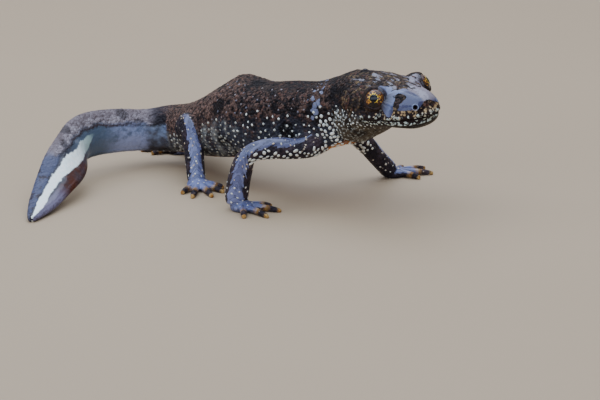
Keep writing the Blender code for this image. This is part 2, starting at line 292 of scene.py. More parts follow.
def add_body(mesh, sides=72, steps=8):
    """The body from the snout's cap to the tip of the tail."""
    rings = []
    first, place = spine_at(0), spine_frame(0)
    for share, reach in reversed(NOSE_CAP):
        ahead = place @ Matrix.Translation((0, 0, -reach)) @ Matrix.Scale(share, 4)
        rings.append(add_ring(mesh, sides, ahead, lambda angle: oval_point(first, angle)))
    for k in range((len(SPINE) - 1) * steps + 1):
        section, place = spine_at(k / steps), spine_frame(k / steps)
        rings.append(add_ring(mesh, sides, place, lambda angle: oval_point(section, angle)))
    bridge_all(mesh, rings)


def add_tube(mesh, line, radii, sides, steps):
    """A tube of changing radius along a smooth line."""
    whole, mesh = mesh, bmesh.new()
    points = [Vector(point) for point in line]
    last = len(points) - 1
    side = None
    rings = []
    for k in range(last * steps + 1):
        t = k / steps
        ahead = along(points, min(t + NUDGE, last)) - along(points, max(t - NUDGE, 0))
        ahead.normalize()
        side = ahead.cross(UP) if side is None else side - ahead * side.dot(ahead)
        side.normalize()
        frame_here = Matrix((side, side.cross(ahead), ahead)).transposed().to_4x4()
        radius = along(radii, t)
        place = Matrix.Translation(along(points, t)) @ frame_here @ Matrix.Scale(radius, 4)
        rings.append(add_ring(mesh, sides, place, lambda a: Vector((math.cos(a), math.sin(a), 0))))
    bridge_all(mesh, rings)
    join(whole, mesh)


def add_ball(mesh, radius, centre, stretch=(1, 1, 1), turn=0.0):
    """A ball, drawn out along its own axes and turned about the vertical."""
    turned = Matrix.Rotation(turn, 4, "Z") @ Matrix.Diagonal((*stretch, 1))
    place = Matrix.Translation(centre) @ turned
    ball = bmesh.new()
    bmesh.ops.create_uvsphere(ball, u_segments=40, v_segments=20, radius=radius, matrix=place)
    join(mesh, ball)


def level(angle):
    """The level direction at an angle from X."""
    return Vector((math.cos(angle), math.sin(angle), 0))


def palm_centre(leg):
    """The middle of the palm or sole, on the floor."""
    x, y, _ = leg.line[-1]
    return Vector((x, y, 0)) + level(math.radians(leg.heading)) * leg.palm * 0.55


def toe_line(leg, number):
    """A toe's middle line, from the palm to a tip that droops to the floor."""
    spread = leg.side * math.radians(leg.fan) * (number / (len(leg.toes) - 1) - 0.5)
    out = level(math.radians(leg.heading) + spread)
    knuckle = leg.palm * 0.8
    length = leg.toes[number]
    return [
        palm_centre(leg) + out * reach + UP * height
        for reach, height in (
            (leg.palm * 0.2, TOE_ROOT * 1.25),
            (knuckle, TOE_ROOT * 1.15),
            (knuckle + length * 0.55, TOE_ROOT * 0.95),
            (knuckle + length * 0.9, TOE_TIP * 0.7),
            (knuckle + length, TOE_TIP * 0.55),
        )
    ]


def add_leg(mesh, leg):
    """A leg, its palm or sole, and its toes, as overlapping closed shapes."""
    add_tube(mesh, leg.line, leg.radii, 32, 6)
    add_ball(mesh, leg.palm, palm_centre(leg) + UP * PALM_HEIGHT * 0.62,
             (1.15, 1, PALM_HEIGHT / leg.palm), math.radians(leg.heading))
    radii = (TOE_ROOT, TOE_ROOT, (TOE_ROOT + TOE_TIP) / 2, TOE_TIP, TOE_TIP * 0.55)
    for number in range(len(leg.toes)):
        add_tube(mesh, toe_line(leg, number), radii, 16, 4)


def eye_axis(side):
    """The way an eye looks: sideways, somewhat ahead and a little up."""
    ahead, up = math.sin(EYE_FORWARD), math.sin(EYE_UPWARD)
    return (HEAD_TURN @ Vector((ahead, side * math.cos(EYE_FORWARD), up))).normalized()


def rough_newt(detail):
    """The whole flesh as one closed surface: an object, in millimetres, remeshed at this size."""
    mesh = bmesh.new()
    add_body(mesh)
    for side in (1, -1):
        sunk = eye_centre(side) - HEAD_LEFT * side * LID_SUNK
        add_ball(mesh, LID_RADIUS, sunk, (LID_LONG / LID_RADIUS, 1, 1), HEAD_HEADING)
    for leg in LEGS.values():
        add_leg(mesh, leg)
    bmesh.ops.recalc_face_normals(mesh, faces=mesh.faces)
    made = add_object("newt_skin", mesh)
    remesh = made.modifiers.new("one_skin", "REMESH")
    remesh.mode = "VOXEL"
    remesh.voxel_size = detail
    apply_modifiers(made)
    return made


def apply_modifiers(made):
    """Gives the object the mesh that its modifiers make."""
    graph = bpy.context.evaluated_depsgraph_get()
    graph.update()
    data = bpy.data.meshes.new_from_object(made.evaluated_get(graph))
    old = made.data
    made.modifiers.clear()
    made.data = data
    bpy.data.meshes.remove(old)
    data.name = made.name


def points_of(data):
    """The mesh's vertices as an array."""
    flat = np.empty(len(data.vertices) * 3)
    data.vertices.foreach_get("co", flat)
    return flat.reshape(-1, 3)


def normals_of(data):
    """The mesh's vertex normals as an array."""
    flat = np.empty(len(data.vertices) * 3)
    data.vertex_normals.foreach_get("vector", flat)
    return flat.reshape(-1, 3)


def set_points(data, points):
    """Moves the mesh's vertices."""
    data.vertices.foreach_set("co", points.ravel())
    data.update()


def gap_to(points, place):
    """How far each point is from a place, or from a place of its own."""
    return np.linalg.norm(points - np.array(place), axis=1)


def eye_gap(points):
    """How far each point is from the nearer eye's middle."""
    return np.min([gap_to(points, eye_centre(side)) for side in (1, -1)], axis=0)


def ease(low, high, values):
    """0 below low, 1 above high and smooth between; low may be the greater."""
    t = np.clip((values - low) / (high - low), 0, 1)
    return t * t * (3 - 2 * t)


def bump(values, width):
    """A bell of height 1 round 0."""
    return np.exp(-((values / width) ** 2))


class Anatomy:
    """Where each point of the skin is on the newt: along it, round it, on a leg, on a toe."""

    SPINE_SAMPLES, LEG_SAMPLES, TOE_SAMPLES = 900, 80, 30
    LEG_ROOM, FOOT_ROOM, TOE_ROOM = 14, 10, 1.1  # how far from its middle each may reach

    def __init__(self, points):
        self.points = points
        to_head = np.array(HEAD_PLACE.inverted())
        self.head = points @ to_head[:3, :3].T + to_head[:3, 3]
        self.measure_body(points)
        self.measure_legs(points)

    @staticmethod
    def on_line(line, steps):
        """The places at these steps along a smooth line."""
        return np.array([tuple(along(line, t)) for t in steps])

    @staticmethod
    def nearest(points, samples):
        """The index of the nearest sample to each point."""
        tree = KDTree(len(samples))
        for k, sample in enumerate(samples):
            tree.insert(sample, k)
        tree.balance()
        return np.array([tree.find(point)[1] for point in points])

    def measure_body(self, points):
        """along: mm from the snout; height: 1 on the back, -1 on the belly; side: 1 on the left."""
        steps = np.linspace(0, len(SPINE) - 1, self.SPINE_SAMPLES)
        frames = [spine_frame(t) for t in steps]
        sections = [spine_at(t) for t in steps]
        centres = np.array([tuple(place.translation) for place in frames])
        gaps = np.linalg.norm(np.diff(centres, axis=0), axis=1)
        lengths = np.concatenate([[0], np.cumsum(gaps)]) + NOSE_CAP[-1][1]
        near = self.nearest(points, centres)
        axes = np.array([[tuple(place.col[k])[:3] for k in range(3)] for place in frames])[near]
        left, up, back = np.einsum("nij,nj->in", axes, points - centres[near])
        sizes = np.array([(s.half_width, s.rise, s.drop) for s in sections])[near]
        self.side = left / sizes[:, 0]
        self.height = up / np.where(up > 0, sizes[:, 1], sizes[:, 2])
        self.reach = np.hypot(self.side, self.height)
        self.along = lengths[near] + back

    def measure_legs(self, points):
        """limb: 1 on a leg or foot; limb_along: steps down it; toe: 0 at its root to 1 at its tip.

        limb_band: 1 on the middle of a leg's outer and upper side, 0 at the edge of its wet band.
        """
        self.limb, self.limb_along, self.toe, self.limb_band = np.zeros((4, len(points)))
        for leg in LEGS.values():
            line = [Vector(point) for point in leg.line]
            steps = np.linspace(0, len(line) - 1, self.LEG_SAMPLES)
            samples = self.on_line(line, steps)
            radii = np.array([along(leg.radii, t) for t in steps])
            foot = gap_to(points, palm_centre(leg))
            box = np.abs(points - samples.mean(0)).max(1) < self.LEG_ROOM
            close = np.flatnonzero(box | (foot < self.FOOT_ROOM))
            here = points[close]
            near = self.nearest(here, samples)
            gap = gap_to(here, samples[near]) / radii[near]
            inside = ease(1.5, 1.2, gap) * ease(1.0, 1.14, self.reach[close])
            inside = np.maximum(inside, ease(9.0, 8.0, foot[close]) * ease(3.2, 2.6, here[:, 2]))
            more = inside > self.limb[close]
            self.limb_along[close] = np.where(more, steps[near], self.limb_along[close])
            self.limb[close] = np.maximum(self.limb[close], inside)
            band = self.band_of(leg, samples, near, here, steps)
            self.limb_band[close] = np.where(inside > 0.5, band, self.limb_band[close])
            for number in range(len(leg.toes)):
                toe = toe_line(leg, number)
                steps_of_toe = np.linspace(0, len(toe) - 1, self.TOE_SAMPLES)
                samples_of_toe = self.on_line(toe, steps_of_toe)
                near = self.nearest(here, samples_of_toe)
                on_toe = gap_to(here, samples_of_toe[near]) < self.TOE_ROOM
                share = np.clip((steps_of_toe[near] - 1) / 3, 0, 1) * on_toe
                self.toe[close] = np.maximum(self.toe[close], share)

    @staticmethod
    def band_of(leg, samples, near, here, steps):
        """How far inside the band along a leg each point lies: 1 at its middle, 0 at its edges."""
        def square_to(ahead, ways):
            """The ways turned square to what lies ahead, of length 1."""
            ways = ways - ahead * np.sum(ways * ahead, axis=1)[:, None]
            return ways / (np.linalg.norm(ways, axis=1)[:, None] + 1e-6)

        ahead = np.gradient(samples, axis=0)
        ahead /= np.linalg.norm(ahead, axis=1)[:, None]
        flatness = 1 - np.abs(ahead[:, 2:])
        outward, upward = np.array((level(math.radians(leg.band)), UP))
        middle = square_to(ahead, outward + upward * 1.8 * flatness)
        out = square_to(ahead[near], here - samples[near])
        angle = np.degrees(np.arccos(np.clip(np.sum(out * middle[near], axis=1), -1, 1)))
        half = np.interp(steps, BAND_STEPS, BAND_HALVES)[near]
        return 1 - angle / half


# ---------------------------------------------------------------- sculpting

def relax(data, weights, rounds):
    """Moves each vertex towards the middle of its neighbours, by its weight, over and over."""
    pairs = np.empty(len(data.edges) * 2, int)
    data.edges.foreach_get("vertices", pairs)
    one, two = pairs[::2], pairs[1::2]
    points = points_of(data)
    count = np.bincount(pairs, minlength=len(points))
    for _ in range(rounds):
        sums = np.stack([np.bincount(one, points[two, k], len(points))
                         + np.bincount(two, points[one, k], len(points)) for k in range(3)], axis=1)
        points += (sums / count[:, None] - points) * weights[:, None]
    set_points(data, points)


def push(data, amounts):
    """Moves each vertex out along its normal."""
    set_points(data, points_of(data) + normals_of(data) * amounts[:, None])


def cell_bumps(points, size, share, seed):
    """Round bumps of height 1 scattered over space: one in each cell of this size."""
    found = np.empty(len(points))
    offset = Vector((seed * 7.3, seed * 3.1, seed * 5.7))
    for k, point in enumerate(points):
        found[k] = noise.voronoi(Vector(point) / size + offset)[0][0]
    return np.clip(1 - (found / share) ** 2, 0, 1) ** 1.5


def waver(points, size, seed):
    """Smooth noise about 0, with features of this size."""
    offset = Vector((seed * 11.7, seed * 5.3, seed * 2.9))
    return np.array([noise.noise(Vector(point) / size + offset) for point in points])


def mouth_line(x):
    """The height of the line between the lips, so far ahead of the eyes."""
    return MOUTH_DROP + MOUTH_SLOPE * x - 0.16 * np.clip(-1.6 - x, 0, 9) ** 2


def sculpt_forms(data, place):
    """The broad forms: hollow cheeks before the eyes, jaw, throat fold, rib grooves, back ridge."""
    x, y, z = place.head.T
    body = 1 - place.limb
    on_head = ease(-9.5, -7.5, x) * body
    out = np.zeros(len(x))
    wide = np.abs(y)
    # A hollow runs from the eye to the nostril, under the edge of the snout's top.
    out -= 0.40 * bump(x - 3.7, 1.3) * bump(wide - 3.5, 1.0) * ease(-1.9, -0.5, z) * on_head
    out += (0.12 * bump(wide - 1.7 - 0.14 * (5.0 - x), 0.8) * ease(0.2, 1.6, x) * ease(7.6, 6.4, x)
            * ease(-0.4, 0.4, z) * on_head)
    out -= 0.14 * bump(wide, 0.5) * bump(x - 0.6, 2.6) * ease(0.2, 1.0, z) * on_head
    # The nostrils stand on low mounds.
    for side in (1, -1):
        out += 0.16 * bump(gap_to(place.head, np.array(NOSTRIL) * (1, side, 1)), 0.8)
    # Behind the eye the jaw muscles swell, over a shallow groove.
    out += 0.30 * bump(x + 6.3, 2.2) * bump(z + 0.7, 1.5) * ease(3.5, 4.8, wide) * on_head
    out -= (0.22 * bump(z + 2.75 + 0.10 * (x + 5), 0.55) * ease(-2.2, -4.5, x) * ease(-9.4, -7.5, x)
            * ease(3.0, 4.5, wide) * body)
    # The throat's fold, with loose skin before it.
    low = ease(-2.6, -4.6, z)
    fold = THROAT_FOLD + 0.035 * (z + 6.5) ** 2
    near_neck = ease(-14.5, -13.0, x) * body
    out -= 0.42 * bump(x - fold, 0.38) * low * near_neck
    out += 0.24 * bump(x - fold - 1.2, 0.9) * low * near_neck
    out += 0.12 * bump(x - fold + 0.9, 0.6) * low * near_neck
    # Rib grooves down the flanks, and the low ridge of the back.
    flank = ease(24.0, 28.0, place.along) * ease(54.0, 50.0, place.along) * body
    sides = ease(0.35, 0.6, np.abs(place.side)) * flank
    beat = -np.sin((place.along + RIB_SLANT * place.height) * RIB_BEAT)
    out -= 0.20 * ease(0.55, 1.0, beat) * sides
    back = ease(0.3, 0.7, place.height) * ease(8.0, 13.0, place.along) * body
    out += 0.15 * bump(place.side, 0.14) * back * ease(92.0, 80.0, place.along)
    out -= 0.14 * bump(np.abs(place.side) - 0.3, 0.14) * back * flank
    peak = np.hypot(place.points[:, 0] - BACK_PEAK[0], place.points[:, 1] - BACK_PEAK[1])
    out += 0.10 * bump(peak, 0.6) * back
    out += 0.34 * bump(gap_to(place.head, NAPE_WART), 0.55)
    # The front legs are slim at the shoulder and over the elbow.
    across, _, rise = normals_of(data).T
    arm = place.limb * ease(42.0, 38.0, place.along)
    for depth, middle, width, facing in (
            (0.42, 1.35, 0.40, ease(0.0, 0.7, rise)),
            (0.35, 1.10, 0.50, ease(0.0, 0.7, -rise)),
            (0.50, 3.00, 0.50, ease(0.0, 0.8, rise - 0.6 * across))):
        out -= depth * arm * bump(place.limb_along - middle, width) * facing
    push(data, out)


def sculpt_lips(data, place):
    """The line of the mouth, the upper lip over the lower, and the nostrils' pits."""
    x, _, z = place.head.T
    above = z - mouth_line(x)
    mouth = ease(JAW_CORNER - 0.5, JAW_CORNER + 0.5, x) * (1 - place.limb)
    out = 0.13 * bump(above - 0.42, 0.40) * mouth
    out -= 0.12 * bump(above + 0.32, 0.34) * mouth
    out -= 0.26 * bump(above, 0.13) * mouth
    for side in (1, -1):
        gap = gap_to(place.head, np.array(NOSTRIL) * (1, side, 1))
        out += 0.06 * bump(gap - 0.52, 0.16) - 0.55 * ease(0.43, 0.22, gap)
    push(data, out)


def sculpt_eyes(data):
    """Opens the lids on the eyeballs: a rim, a swollen lower lid and a fold under it."""
    points = points_of(data)
    for side in (1, -1):
        centre, axis = np.array(eye_centre(side)), np.array(eye_axis(side))
        up = np.array(HEAD_TURN @ UP) - axis * (np.array(HEAD_TURN @ UP) @ axis)
        up /= np.linalg.norm(up)
        offset = points - centre
        reach = np.linalg.norm(offset, axis=1)
        near = np.flatnonzero((reach < LID_REACH) & (offset @ axis > -0.9))
        offset, reach = offset[near], reach[near]
        out = offset / reach[:, None]
        turn = np.degrees(np.arccos(np.clip(out @ axis, -1, 1)))
        rise = (out @ up) / np.maximum(np.sin(np.radians(turn)), 0.05)
        lower = ease(0.1, -0.8, rise)
        upper = ease(0.2, 0.9, rise)
        beyond = turn - (LID_OPENINGS[side] - 6.0 * lower + 1.0 * upper)
        lid = LID_RIM + 0.04 * bump(beyond - 9, 7) + 0.30 * upper * bump(beyond - 34, 24)
        lid += lower * (0.14 * bump(beyond - 14, 9) - 0.16 * bump(beyond - 29, 5))
        lid = LID_INSIDE + (lid - LID_INSIDE) * ease(-8, 6, beyond)
        blend = ease(14, 44, beyond)
        points[near] = centre + out * (lid * (1 - blend) + reach * blend)[:, None]
    set_points(data, points)


def newt_skin(settings):
    """The sculpted skin in millimetres, with its places stored on its points."""
    made = rough_newt(settings.detail)
    data = made.data
    relax(data, np.full(len(data.vertices), 0.5), 3)
    place = Anatomy(points_of(data))
    body = 1 - place.limb
    seam = 4 * place.limb * body * ease(3.0, 5.0, place.points[:, 2])
    brow = bump(eye_gap(place.points) - 2.7, 0.7)
    relax(data, 0.5 * np.clip(np.maximum(seam, brow), 0, 1), 24)
    sculpt_forms(data, place)
    relax(data, np.full(len(data.vertices), 0.3), 1)
    sculpt_lips(data, place)
    points = points_of(data)
    x, y, z = place.head.T
    hollow = bump(x - 4.2, 2.4) * bump(np.abs(y) - 3.0, 1.4) * (z > -1.6)
    near_eye = ease(2.5, 2.1, eye_gap(points))
    smooth = np.clip(np.max([hollow, near_eye, 0.75 * place.limb, place.toe], axis=0), 0, 1)
    smooth = np.maximum(smooth, 0.6 * ease(0.8, 2.5, x) * body)
    belly = ease(-0.5, -0.8, place.height) * body
    warts = cell_bumps(points, 1.15, 0.46, 1) * ease(-0.15, 0.25, waver(points, 3.0, 2))
    grains = cell_bumps(points, 0.52, 0.5, 3)
    rough = (1 - smooth) * (1 - 0.7 * belly) * ease(0.25, 0.9, points[:, 2])
    push(data, (settings.wart_height * warts + 0.35 * settings.wart_height * grains) * rough)
    sculpt_eyes(data)
    points = points_of(data)
    points[:, 2] = np.maximum(points[:, 2], 0)
    set_points(data, points)
    store(data, "head_place", *place.head.T)
    store(data, "body_place", place.along, place.height, place.side)
    store(data, "limb_place", place.limb, place.toe, place.limb_along)
    store(data, "lids", ease(2.30, 2.0, eye_gap(points)))
    store(data, "films", *wet_films(place, normals_of(data)))
    return made, place


def stripe(points, line, width):
    """1 on a line through these places, 0 at this distance from it and less beyond."""
    gaps = []
    for start, end in zip(line, line[1:]):
        run = np.array(end) - np.array(start)
        share = np.clip((points - start) @ run / (run @ run), 0, 1)
        gaps.append(gap_to(points - start, share[:, None] * run))
    return 1 - np.min(gaps, axis=0) / width


def wet_films(place, normals):
    """Where water lies smooth on the skin and its reflection is painted, 1 well inside and 0 at its
    edge: head, body and legs.
    """
    head = place.head * (1, 0, 1) + np.abs(place.head * (0, 1, 0))
    x, y, z = head.T
    rim = -0.98 + 0.95 * ease(2.4, 0.2, y)
    snout = np.min([(x - 2.8 + 0.3 * z) / 0.8, (7.3 - x) / 0.4, (z - rim) / 0.5], axis=0)
    snout = np.maximum(snout, 1.3 * stripe(head, LORE_WET, 0.74))
    snout = np.minimum(snout, -3.2 * stripe(head, LORE_DARK, 0.52))
    snout = np.maximum(snout, 1.0 - gap_to(head, (0.9, 3.2, 2.0)) / 1.1)
    snout = np.where(x > THROAT_FOLD, snout, -1)
    length, height, side = place.along, place.height, place.side
    slanted = length - SHOULDER_FILM - 0.9 * height
    shoulder = 0.46 - 0.45 * np.hypot(slanted / 1.7, (height - 0.34) / 0.75)
    nape = np.where(height > 0.6, 0.9 - np.hypot((length - NAPE_FILM) / 1.5, side / 0.22), -1)
    rump = 0.75 - np.hypot((length - RUMP_FILM) / 2.6, height / 0.4)
    body = np.max([shoulder, nape, rump], axis=0)
    limbs = np.where(place.limb > 0.5, place.limb_band, -1)
    on_foot = np.maximum(place.toe > 0, place.limb_along > 5.5) * place.limb
    limbs = np.where(on_foot > 0.5, np.maximum(limbs, (normals[:, 2] - 0.35) * 1.5), limbs)
    limbs = np.where(place.toe > 0.3, np.minimum(limbs, 0.2 - place.toe), limbs)
    return np.clip((snout, body, limbs), -1, 1)


def store(data, name, *columns):
    """Keeps up to three numbers for each point of a mesh."""
    values = np.zeros((len(data.vertices), 3), np.float32)
    for k, column in enumerate(columns):
        values[:, k] = column
    data.attributes.new(name, "FLOAT_VECTOR", "POINT").data.foreach_set("vector", values.ravel())


def thin(made, keep, most):
    """Takes triangles away where keep is low, down to about this many."""
    data = made.data
    group = made.vertex_groups.new(name="thinned")
    for tenth in range(11):
        picked = np.flatnonzero(np.round(keep * 10) == tenth)
        if len(picked):
            group.add(picked.tolist(), 1 - tenth / 10, "REPLACE")
    triangles = sum(len(face.vertices) - 2 for face in data.polygons)
    if triangles > most:
        fewer = made.modifiers.new("fewer", "DECIMATE")
        fewer.ratio = most / triangles
        fewer.vertex_group = group.name
        fewer.vertex_group_factor = 1.0
        fewer.use_collapse_triangulate = True
        apply_modifiers(made)
    made.vertex_groups.clear()


# ---------------------------------------------------------------- materials

class Wire:
    """One output of a node: Python sums of wires and numbers become Math nodes."""

    def __init__(self, paint, socket):
        self.paint, self.socket = paint, socket

    def math(self, operation, *others):
        """A Math node on this wire."""
        return self.paint.node("ShaderNodeMath", {"operation": operation}, (self, *others))

    def __add__(self, other):
        return self.math("ADD", other)

    def __mul__(self, other):
        return self.math("MULTIPLY", other)

    def __sub__(self, other):
        return self.math("SUBTRACT", other)

    def __rsub__(self, other):
        return self.paint.node("ShaderNodeMath", {"operation": "SUBTRACT"}, (other, self))

    __radd__, __rmul__ = __add__, __mul__

    def __abs__(self):
        return self.math("ABSOLUTE")

    def over(self, other):
        """The greater of the two."""
        return self.math("MAXIMUM", other)

    def ease(self, low, high):
        """0 at low, 1 at high and smooth between; low may be the greater."""
        settings = {"interpolation_type": "SMOOTHSTEP"}
        return self.paint.node("ShaderNodeMapRange", settings,
                               {"Value": self, "From Min": low, "From Max": high})

    def bell(self, middle, width):
        """1 at the middle, falling to 0 at this distance from it."""
        return abs(self - middle).ease(width, 0)


class Paint:
    """A new material's nodes."""

    def __init__(self, name):
        self.material = bpy.data.materials.new(name)
        self.material.use_nodes = True
        self.tree = self.material.node_tree
        self.shader = self.tree.nodes["Principled BSDF"]

    def node(self, kind, settings=None, inputs=(), output=0):
        """Adds a node: its settings first, then its sockets' values or wires."""
        node = self.tree.nodes.new(kind)
        for name, value in (settings or {}).items():
            setattr(node, name, value)
        pairs = inputs.items() if isinstance(inputs, dict) else enumerate(inputs)
        for name, value in pairs:
            self.fill(node.inputs[name], value)
        return Wire(self, node.outputs[output])

    def fill(self, socket, value):
        """Links a wire to a socket or sets its value."""
        if isinstance(value, Wire):
            self.tree.links.new(value.socket, socket)
        elif hasattr(value, "__len__"):
            opaque = (1,) * (len(socket.default_value) - len(value))
            socket.default_value = (*value, *opaque)
        else:
            socket.default_value = value

    def place(self):
        """The place in millimetres."""
        return self.scaled(self.node("ShaderNodeTexCoord", output="Object"), 1000)

    def vectors(self, operation, *inputs, output=0):
        """A Vector Math node."""
        return self.node("ShaderNodeVectorMath", {"operation": operation}, inputs, output)

    def scaled(self, vector, amount):
        """A vector made this many times as long."""
        inputs = {0: vector, "Scale": amount}
        return self.node("ShaderNodeVectorMath", {"operation": "SCALE"}, inputs)

    def shifted(self, place, sway, amount):
        """A place moved about by noise, to fray the edges of a pattern."""
        inputs = {"Vector": place, "Scale": 0.5 / sway, "Detail": 2.0}
        cloud = self.node("ShaderNodeTexNoise", inputs=inputs, output="Color")
        centred = self.vectors("SUBTRACT", cloud, (0.5, 0.5, 0.5))
        return self.vectors("ADD", place, self.scaled(centred, amount * 2))

    def stored(self, name):
        """The three numbers stored on the points under this name, together and apart."""
        found = self.node("ShaderNodeAttribute", {"attribute_name": name}, output="Vector")
        return found, self.parts("ShaderNodeSeparateXYZ", found)

    def parts(self, kind, whole):
        """The three numbers of a vector or colour."""
        node = self.node(kind, inputs=(whole,)).socket.node
        return [Wire(self, node.outputs[k]) for k in range(3)]

    def noise(self, place, size, detail=3.0, roughness=0.55):
        """Noise from about 0.2 to 0.8, with features of this size in millimetres."""
        return self.node("ShaderNodeTexNoise", inputs={
            "Vector": place, "Scale": 0.5 / size, "Detail": detail, "Roughness": roughness})

    def cells(self, place, size):
        """The distance to the nearest of points scattered this far apart, in cells."""
        return self.node("ShaderNodeTexVoronoi", inputs={"Vector": place, "Scale": 1 / size})

    def pebbles(self, place, size):
        """Cells this large: the distance to each one's middle, and three random numbers for it."""
        distance = self.cells(place, size)
        colour = Wire(self, distance.socket.node.outputs["Color"])
        return distance, *self.parts("ShaderNodeSeparateColor", colour)

    def mix(self, share, one, two):
        """One colour turning to the other."""
        node = self.tree.nodes.new("ShaderNodeMix")
        node.data_type = "RGBA"
        self.fill(node.inputs["Factor"], share)
        for name, value in (("A", one), ("B", two)):
            self.fill(next(i for i in node.inputs if i.name == name and i.type == "RGBA"), value)
        return Wire(self, next(o for o in node.outputs if o.type == "RGBA"))

    def lay(self, share, colour):
        """Lays a colour over the one painted so far."""
        self.colour = self.mix(share, self.colour, colour)

    def bumpy(self, height, depth):
        """A normal bent by a height, whose 1 stands this many millimetres out."""
        return self.node("ShaderNodeBump", inputs={
            "Height": height, "Distance": depth * MM, "Strength": 1.0})

    def finish(self, **values):
        """Fills the shader's sockets, with _ for a space in a name, and gives the material."""
        for name, value in {"Base_Color": self.colour, **values}.items():
            self.fill(self.shader.inputs[name.replace("_", " ")], value)
        return self.material


def skin_finish(settings):
    """Wet skin: brown back, black blotches and flanks, orange belly, pale lips and tail band, with
    painted reflections where it is wet and painted shade in the lips' parting, nostrils and lids.

    Lengths run in millimetres from the snout: chest 20 to 30, hips 50 to 60, tail 62 to 108.
    Heights run from -1 at the belly to 1 at the back, and steps down a leg from 0 to 6.
    """
    paint = Paint("newt_wet_skin")
    mix, lay, cells, shifted = paint.mix, paint.lay, paint.cells, paint.shifted
    black = settings.dark_colour
    place = paint.place()
    frayed = shifted(place, 0.5, 0.35)
    head_vector, (head_x, head_y, head_z) = paint.stored("head_place")
    _, (length, height, side) = paint.stored("body_place")
    _, (limb, toe, limb_step) = paint.stored("limb_place")
    _, (lid, _, _) = paint.stored("lids")
    _, (snout_film, body_film, limb_film) = paint.stored("films")
    body = 1 - limb
    tail = length.ease(60.0, 66.0) * body
    mottle = paint.noise(place, 1.5, 5.0, 0.68)
    speck = paint.noise(place, 0.22, 3.0, 0.6)
    cloud = paint.noise(place, 4.0, 3.0, 0.5)
    patch = paint.noise(place, 0.9, 4.0, 0.65)
    grain, red, green, blue = paint.pebbles(shifted(place, 0.3, 0.15), 0.50)

    # Grains of the back are brown, rust or khaki on black, fewer of them down the sides.
    upper = (height + (cloud - 0.5) * 1.1).ease(-0.55, 0.35) * body
    fore = length.ease(24.0, 16.0)
    rear = length.ease(34.0, 44.0)
    sides = height.ease(0.95, 0.65) * (1 - fore)
    brown = mix(green.ease(0.45, 0.9), settings.back_colour, (0.125, 0.052, 0.034))
    brown = mix(blue.ease(0.45, 0.85) * (0.15 + fore * 0.85), brown, (0.20, 0.130, 0.065))
    brown = mix(rear * 0.6, brown, (0.20, 0.115, 0.080))
    # Painted light: the brown is lighter down the sides.
    brown = mix(sides * 0.45, brown, (0.165, 0.095, 0.075))
    brown = mix(speck.ease(0.56, 0.40) * 0.8, brown, black)
    dark = mix(speck.ease(0.5, 0.7), black, (0.026, 0.016, 0.014))
    dark = mix(upper * -1.0 + 1.0, dark, (0.040, 0.042, 0.057))
    many = red * 0.7 + (patch - 0.5) * 2.4 + (cloud - 0.5) * 1.2 + upper * 0.35 + rear * 0.35
    # Painted shade: fewer grains on the crest, so the top of the back is darker.
    shaded_crest = height.ease(0.70, 0.92) * (1 - fore) * (1 - rear)
    grains = many.ease(0.45, 0.95) * (0.32 + upper * 0.68 - shaded_crest * 0.45) * grain.ease(0.95, 0.45)
    paint.colour = mix(grains, dark, brown)
    blotch = cells(shifted(place, 1.6, 0.9), 5.2).ease(0.36, 0.27) * body
    lay(blotch * (0.92 - fore * 0.6), black)

    # The flanks are finely stippled with grey white, closest to the hind legs.
    dots = cells(place, 0.62).ease(0.34, 0.2)
    flank = ((height + (cloud - 0.5) * 0.6).ease(0.1, -0.15) * height.ease(-0.98, -0.8)
             * length.ease(20.0, 26.0) * body)
    veil = paint.noise(place, 1.6, 3.0, 0.6).ease(0.42, 0.6)
    groin = length.ease(36.0, 41.0) * length.ease(66.0, 58.0)
    lay(flank * dots * (0.12 + groin * 0.6 * veil), (0.34, 0.36, 0.33))
    ribs = ((length + height * RIB_SLANT) * RIB_BEAT).math("SINE")
    # Painted shade: the grey veil is thinnest in the rib grooves.
    lay(flank * groin * veil * (0.45 + ribs * 0.4), (0.25, 0.255, 0.240))

    # The throat is dark olive with whitish flecks, thickest at the cheek and the fold.
    on_throat = head_x.ease(-10.6, -9.8) * body * (head_z + (cloud - 0.5) * 2.6).ease(-2.2, -4.2)
    thick = (head_x * -1.0 + head_z * 0.4 + (cloud - 0.5) * 6.0).ease(0.5, 5.0)
    flecks = cells(frayed, 0.55).ease(0.46, 0.28) * (patch + thick * 0.16).ease(0.50, 0.62)
    throat = mix(mottle.ease(0.4, 0.6), (0.018, 0.013, 0.009), (0.085, 0.065, 0.042))
    throat = mix(flecks * (0.10 + thick * 0.80), throat, (0.48, 0.50, 0.46))
    lay(on_throat * 0.92, throat)

    # Cream blots stand in rows along both lips, tan ones above them.
    above = head_z - (MOUTH_DROP + head_x * MOUTH_SLOPE)
    on_lips = head_x.ease(-3.4, -1.4) * body
    rows = above.bell(0.50, 0.55).over(above.bell(-0.56, 0.50))
    blots, keep, tone, _ = paint.pebbles(shifted(place, 0.26, 0.36), 0.50)
    tip = head_x.ease(5.5, 7.0)
    loose = above.bell(1.0, 0.9) * head_x.ease(2.5, 4.5) * (tone + 0.15 + tip * 0.3)
    blot = (blots.ease(0.54, 0.40) * keep.ease(0.18, 0.28) * rows.over(loose).ease(0.10, 0.45)
            * on_lips)
    cream = mix((above + (tone - 0.5) * 0.8).ease(0.3, 1.0), (0.62, 0.70, 0.62), (0.50, 0.34, 0.17))
    lay(on_lips * above.bell(0.0, 2.2), (0.020, 0.011, 0.010))
    lay(blot * 0.95, cream)
    # Painted shade: a near-black line along the parting of the lips.
    lay(above.bell(0.0, 0.16) * on_lips, (0.006, 0.004, 0.004))

    # The belly is orange under black blotches, and the orange reaches the throat's fold.
    on_belly = ((height + (cloud - 0.5) * 0.4 + length.ease(24.0, 30.0) * 0.12).ease(-0.74, -0.86)
                * length.ease(17.0, 21.0) * length.ease(62.0, 57.0) * body)
    orange = mix(mottle.ease(0.4, 0.65), settings.belly_colour, (0.82, 0.33, 0.02))
    black_spots = cells(shifted(place, 1.2, 0.8), 3.1).ease(0.44, 0.36)
    lay(on_belly, mix(black_spots, orange, black))

